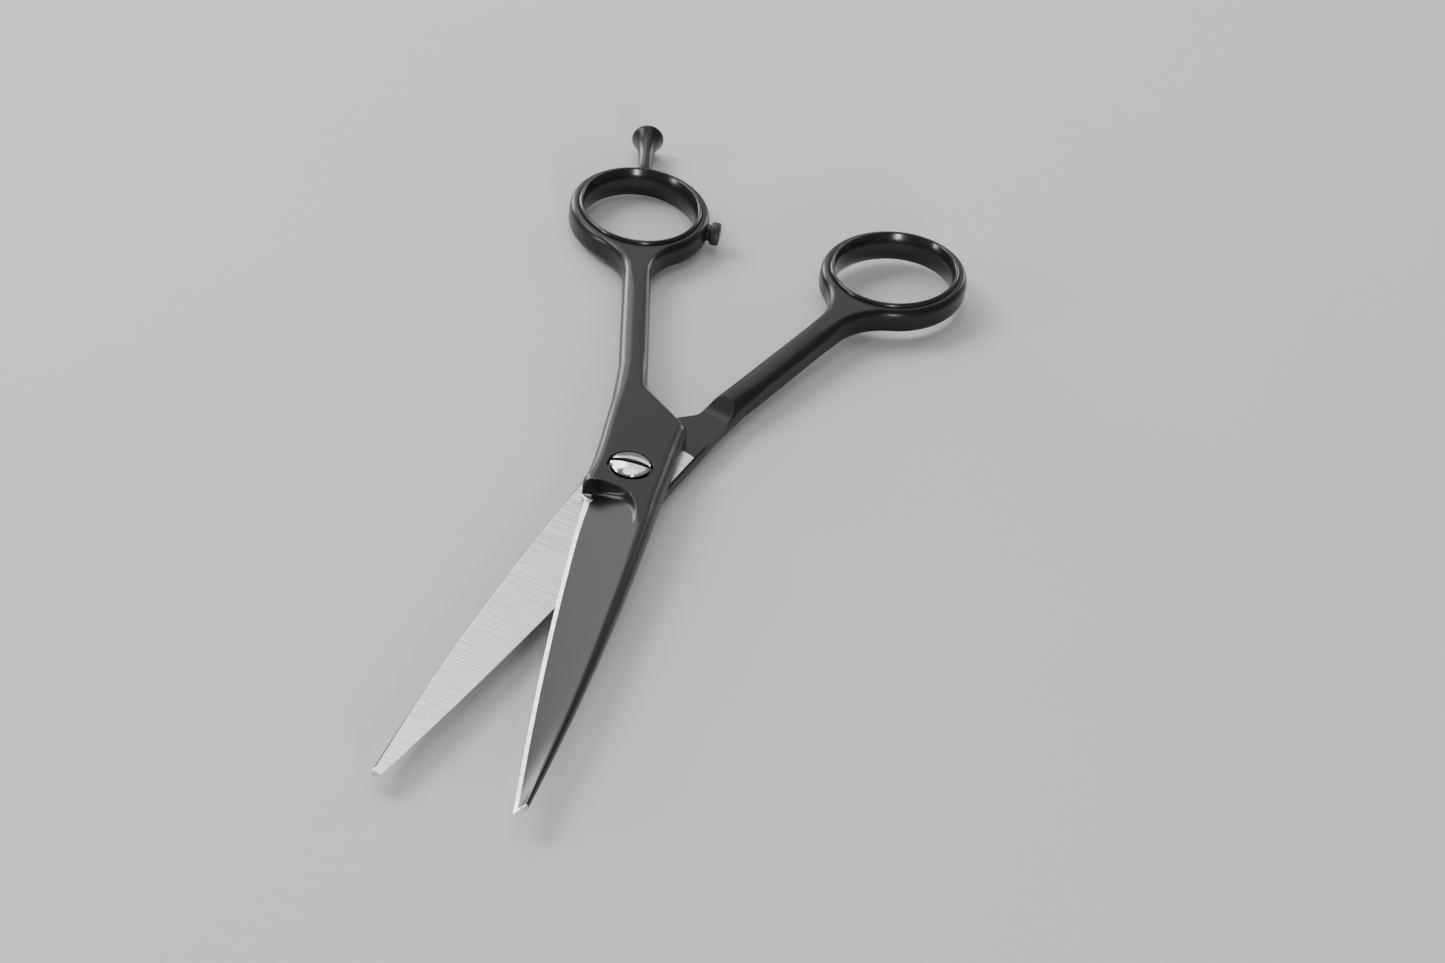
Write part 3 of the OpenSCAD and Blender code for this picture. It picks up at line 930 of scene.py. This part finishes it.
def finger_rest():
    """Turned trumpet-shaped rest for the little finger."""
    length, neck_r, end_r = 13.9, 1.3, 2.95
    t = np.linspace(0, 1, 26)
    flare = [(neck_r + (end_r - neck_r) * k**2.4, 4.5 + (length - 5.1) * k) for k in t]
    foot = [(0, -1.2), (1.2, -1.2), (1.2, 0.0), (1.5, 0.05), (1.58, 0.25), (1.5, 0.6),
            (1.42, 1.1), (1.35, 1.9), (1.31, 3.0), (1.3, 4.0)]
    end = [(2.94, length - 0.35), (2.86, length - 0.18), (2.7, length - 0.07),
           (2.4, length - 0.01), (0, length)]
    skin = Skin()
    lathe(skin, foot + flare + end, 96)
    return skin.finish("little_finger_rest", [COAT], 50)


def rest_place():
    """On the outer end of the finger ring, turned a little from the handle's direction."""
    x, y = off_handle([0, RING_REACH]) * MM
    to_centre = Matrix.Translation((x, y, (FINGER_Z + RING_Z) * MM))
    turn = Matrix.Rotation(math.radians(7.8), 4, "Z")
    to_end = Matrix.Translation((0, RING_A * MM, 0))
    return to_centre @ turn @ to_end @ Matrix.Rotation(-math.pi / 2, 4, "X")


place(finger_rest(), rest_place(), "finger_side", "coated_steel", "finger_rest")

for name, material in (("glide_bush", BUSH), ("thread_lock", NYLON)):
    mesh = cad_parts[name].data
    mesh.materials.clear()
    mesh.materials.append(material)

# ---- studio ----


def studio_floor():
    """Plain pale sheet, with a little unevenness in its finish."""
    m, tree, s = shader("pale_floor", (0.72, 0.72, 0.71), 0.0, 0.75)
    cloud = grain(tree, 6, 3)
    tint(tree, s, span(tree, cloud, 0, 1), (0.70, 0.70, 0.69), (0.73, 0.73, 0.72))
    skin = Skin()
    side = np.linspace(-2500, 2500, 3)
    skin.grid(np.array([[(x, y, 0.0) for x in side] for y in side]))
    sheet = skin.finish("studio_floor", [m])
    sheet.location.z = CAD_BOX[0].z - 0.0001


def softbox(name, where, aim, size, power, shape="RECTANGLE"):
    """Area light at where, facing aim. Places and sizes are in metres, and power is in watts."""
    lamp = bpy.data.lights.new(name, "AREA")
    lamp.shape = shape
    lamp.size, lamp.size_y = size
    lamp.energy = power
    obj = bpy.data.objects.new(name, lamp)
    obj.location = where
    obj.rotation_euler = (Vector(aim) - Vector(where)).to_track_quat("-Z", "Y").to_euler()
    bpy.context.scene.collection.objects.link(obj)


def room_light(strength):
    world = bpy.data.worlds.new("room")
    world.use_nodes = True
    background = world.node_tree.nodes["Background"]
    background.inputs["Color"].default_value = (1, 1, 1, 1)
    background.inputs["Strength"].default_value = strength
    bpy.context.scene.world = world


studio_floor()
room_light(0.22)
softbox("back_light", (-0.02, 1.07, 0.90), (0, 0, 0), (0.9, 1.1), 2.8)
softbox("face_light", (-0.546, 0.946, 0.794), (0, 0, 0), (0.5, 1.0), 4.6)
softbox("left_key", (-0.84, 0.90, 0.17), (0, 0, 0), (0.32, 0.45), 5.5)
softbox("right_strip", (0.52, 1.05, 0.24), (0, 0, 0), (0.2, 0.6), 2)
softbox("top_light", (0.0, 0.22, 1.30), (0, 0, 0), (0.6, 0.9), 2.6)
softbox("front_spot", (0.46, -0.99, 0.28), (0, 0, 0.01), (0.14, 0.3), 6)
softbox("side_spot", (-0.95, -0.45, 0.28), (0, 0, 0.01), (0.12, 0.25), 3)
softbox("floor_fill", (-1.05, 0.25, 1.0), (0, 0, 0), (0.7, 0.7), 11, "DISK")


def camera():
    """Looks at the shears from the blades' side, a little rolled."""
    aim = Vector((0.01459, 0.00539, 0.00343))
    elevation, azimuth = math.radians(35.875), math.radians(4.8396)
    roll, distance = math.radians(-8.7306), 0.549446
    right = Vector((math.cos(azimuth), math.sin(azimuth), 0))
    level = Vector((-math.sin(azimuth), math.cos(azimuth), 0))
    forward = level * math.cos(elevation) - Vector((0, 0, 1)) * math.sin(elevation)
    down = forward.cross(right)
    rolled_right = right * math.cos(roll) + down * math.sin(roll)
    rolled_down = down * math.cos(roll) - right * math.sin(roll)
    lens = bpy.data.cameras.new("camera")
    lens.lens, lens.sensor_width = 84.708, 36.0
    lens.clip_start, lens.clip_end = 0.01, 20
    obj = bpy.data.objects.new("camera", lens)
    turn = Matrix((rolled_right, -rolled_down, -forward)).transposed().to_4x4()
    obj.matrix_world = Matrix.Translation(aim - forward * distance) @ turn
    bpy.context.scene.collection.objects.link(obj)
    bpy.context.scene.camera = obj


camera()
